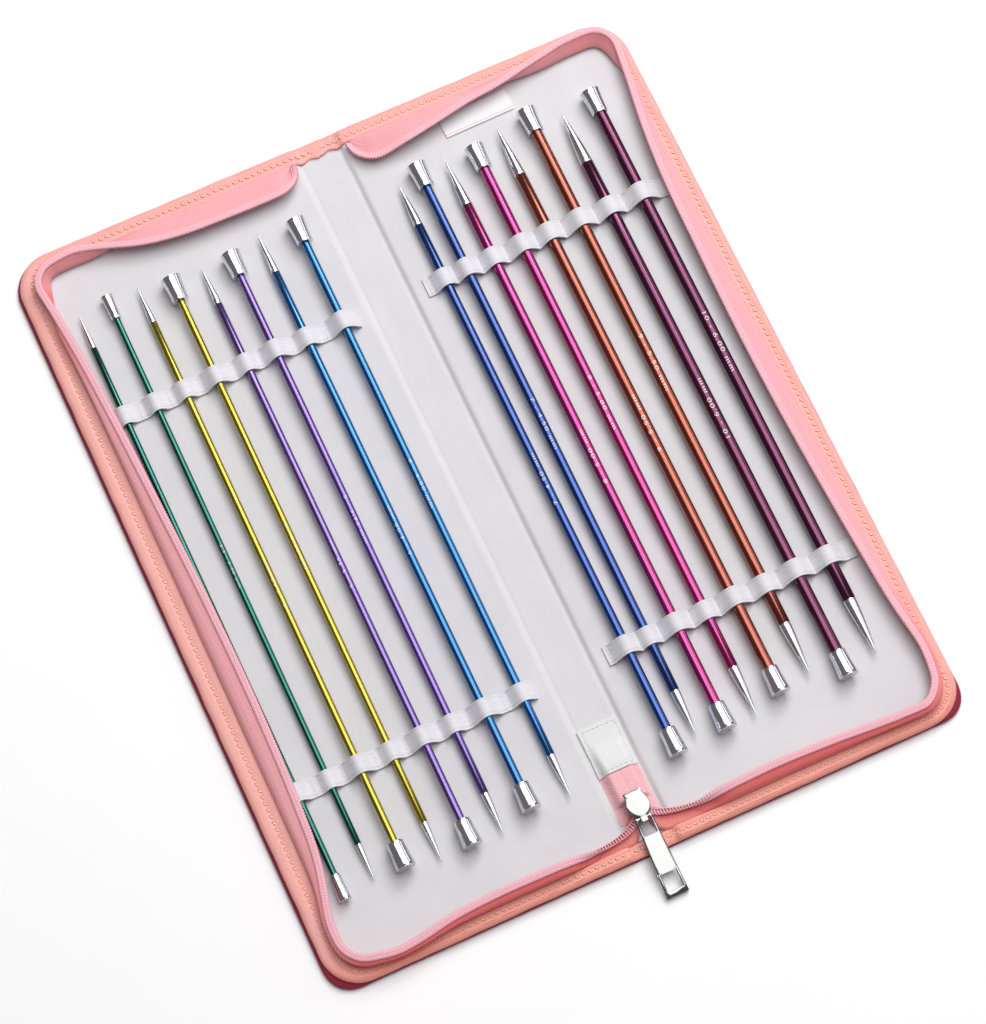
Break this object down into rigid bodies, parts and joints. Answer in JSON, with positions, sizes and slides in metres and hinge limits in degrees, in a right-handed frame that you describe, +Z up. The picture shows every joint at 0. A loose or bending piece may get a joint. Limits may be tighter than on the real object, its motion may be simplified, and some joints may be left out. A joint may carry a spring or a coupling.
{
  "type": "knitting needle set",
  "caption": "Zip-around folding case, open, holding graded pairs of straight single-pointed knitting needles under elastic bands.",
  "frame": {"origin": "centre of the spine's underside, on the surface that the open case lies on", "axes": "+X across the open case to the panel with the thicker needles, +Y along the needles away from the zip slider, +Z up"},
  "size_m": [0.306, 0.3923, 0.0139],
  "materials": {
    "cover_fabric": "woven crimson outer cloth over a stiff board",
    "lining": "smooth off-white cloth",
    "binding": "soft-grained peach imitation leather",
    "zip_tape": "herringbone woven tape",
    "zip_coil": "dyed nylon coil",
    "thread": "twisted sewing thread",
    "elastic": "knitted elastic",
    "tab_cloth": "plain woven white cloth",
    "slider_metal": "polished nickel plate",
    "needle_metal": "polished nickel plate",
    "size_mark": "thin pale print",
    "anodised_300": "satin coloured anodising",
    "anodised_350": "satin coloured anodising",
    "anodised_375": "satin coloured anodising",
    "anodised_400": "satin coloured anodising",
    "anodised_450": "satin coloured anodising",
    "anodised_500": "satin coloured anodising",
    "anodised_550": "satin coloured anodising",
    "anodised_600": "satin coloured anodising"
  },
  "bodies": {
    "left_half": {"left_panel": "cover_fabric", "left_zip_tape": "zip_tape", "left_upper_elastic": "elastic", "left_lower_elastic": "elastic"},
    "spine": {"spine_panel": "cover_fabric", "zip_end_tab": "zip_tape"},
    "right_half": {"right_panel": "cover_fabric", "right_zip_tape": "zip_tape", "right_upper_elastic": "elastic", "right_lower_elastic": "elastic"},
    "slider": {"zip_slider": "slider_metal"},
    "pull": {"zip_pull": "slider_metal"},
    "needle_01": {"needle_01_shaft": "anodised_300", "needle_01_tip": "needle_metal", "needle_01_cap": "needle_metal"},
    "needle_02": {"needle_02_shaft": "anodised_300", "needle_02_tip": "needle_metal", "needle_02_cap": "needle_metal"},
    "needle_03": {"needle_03_shaft": "anodised_350", "needle_03_tip": "needle_metal", "needle_03_cap": "needle_metal"},
    "needle_04": {"needle_04_shaft": "anodised_350", "needle_04_tip": "needle_metal", "needle_04_cap": "needle_metal"},
    "needle_05": {"needle_05_shaft": "anodised_375", "needle_05_tip": "needle_metal", "needle_05_cap": "needle_metal"},
    "needle_06": {"needle_06_shaft": "anodised_375", "needle_06_tip": "needle_metal", "needle_06_cap": "needle_metal"},
    "needle_07": {"needle_07_shaft": "anodised_400", "needle_07_tip": "needle_metal", "needle_07_cap": "needle_metal"},
    "needle_08": {"needle_08_shaft": "anodised_400", "needle_08_tip": "needle_metal", "needle_08_cap": "needle_metal"},
    "needle_09": {"needle_09_shaft": "anodised_450", "needle_09_tip": "needle_metal", "needle_09_cap": "needle_metal"},
    "needle_10": {"needle_10_shaft": "anodised_450", "needle_10_tip": "needle_metal", "needle_10_cap": "needle_metal"},
    "needle_11": {"needle_11_shaft": "anodised_500", "needle_11_tip": "needle_metal", "needle_11_cap": "needle_metal"},
    "needle_12": {"needle_12_shaft": "anodised_500", "needle_12_tip": "needle_metal", "needle_12_cap": "needle_metal"},
    "needle_13": {"needle_13_shaft": "anodised_550", "needle_13_tip": "needle_metal", "needle_13_cap": "needle_metal"},
    "needle_14": {"needle_14_shaft": "anodised_550", "needle_14_tip": "needle_metal", "needle_14_cap": "needle_metal"},
    "needle_15": {"needle_15_shaft": "anodised_600", "needle_15_tip": "needle_metal", "needle_15_cap": "needle_metal"},
    "needle_16": {"needle_16_shaft": "anodised_600", "needle_16_tip": "needle_metal", "needle_16_cap": "needle_metal"}
  },
  "joints": [
    {"name": "spine_fold", "type": "hinge", "parent": "left_half", "child": "spine", "pos_m": [-0.0105, 0, 0.0022], "axis": [0, -1, 0], "range_deg": [0, 90]},
    {"name": "panel_fold", "type": "hinge", "parent": "spine", "child": "right_half", "pos_m": [0.0105, 0, 0.0022], "axis": [0, -1, 0], "range_deg": [0, 90]},
    {"name": "slider_slide", "type": "slide", "parent": "spine", "child": "slider", "axis": [0, 1, 0], "range_m": [0, 0.011]},
    {"name": "pull_swing", "type": "hinge", "parent": "slider", "child": "pull", "pos_m": [0, -0.1706, 0.0094], "axis": [-1, 0, 0], "range_deg": [0, 100]},
    {"name": "needle_01_slide", "type": "slide", "parent": "left_half", "child": "needle_01", "axis": [0, 1, -0.0047], "range_m": [-0.0255, 0.0245]},
    {"name": "needle_02_slide", "type": "slide", "parent": "left_half", "child": "needle_02", "axis": [0, 1, 0.0047], "range_m": [-0.0275, 0.02]},
    {"name": "needle_03_slide", "type": "slide", "parent": "left_half", "child": "needle_03", "axis": [0, 1, -0.0098], "range_m": [-0.025, 0.0215]},
    {"name": "needle_04_slide", "type": "slide", "parent": "left_half", "child": "needle_04", "axis": [0, 1, 0.0098], "range_m": [-0.0225, 0.0155]},
    {"name": "needle_05_slide", "type": "slide", "parent": "left_half", "child": "needle_05", "axis": [0, 1, -0.0094], "range_m": [-0.0205, 0.021]},
    {"name": "needle_06_slide", "type": "slide", "parent": "left_half", "child": "needle_06", "axis": [0, 1, 0.0094], "range_m": [-0.022, 0.0135]},
    {"name": "needle_07_slide", "type": "slide", "parent": "left_half", "child": "needle_07", "axis": [0, 1, -0.009], "range_m": [-0.0245, 0.0155]},
    {"name": "needle_08_slide", "type": "slide", "parent": "left_half", "child": "needle_08", "axis": [0, 1, 0.009], "range_m": [-0.023, 0.0115]},
    {"name": "needle_09_slide", "type": "slide", "parent": "right_half", "child": "needle_09", "axis": [0, 1, -0.0082], "range_m": [-0.021, 0.0225]},
    {"name": "needle_10_slide", "type": "slide", "parent": "right_half", "child": "needle_10", "axis": [0, 1, 0.0082], "range_m": [-0.0265, 0.0105]},
    {"name": "needle_11_slide", "type": "slide", "parent": "right_half", "child": "needle_11", "axis": [0, 1, -0.0073], "range_m": [-0.0225, 0.02]},
    {"name": "needle_12_slide", "type": "slide", "parent": "right_half", "child": "needle_12", "axis": [0, 1, 0.0073], "range_m": [-0.0235, 0.013]},
    {"name": "needle_13_slide", "type": "slide", "parent": "right_half", "child": "needle_13", "axis": [0, 1, -0.0065], "range_m": [-0.0275, 0.015]},
    {"name": "needle_14_slide", "type": "slide", "parent": "right_half", "child": "needle_14", "axis": [0, 1, 0.0065], "range_m": [-0.0305, 0.0095]},
    {"name": "needle_15_slide", "type": "slide", "parent": "right_half", "child": "needle_15", "axis": [0, 1, -0.0057], "range_m": [-0.0225, 0.024]},
    {"name": "needle_16_slide", "type": "slide", "parent": "right_half", "child": "needle_16", "axis": [0, 1, 0.0057], "range_m": [-0.027, 0.021]}
  ],
  "couplings": [
    {"joint": "panel_fold", "follows": "spine_fold", "ratio": 1}
  ]
}
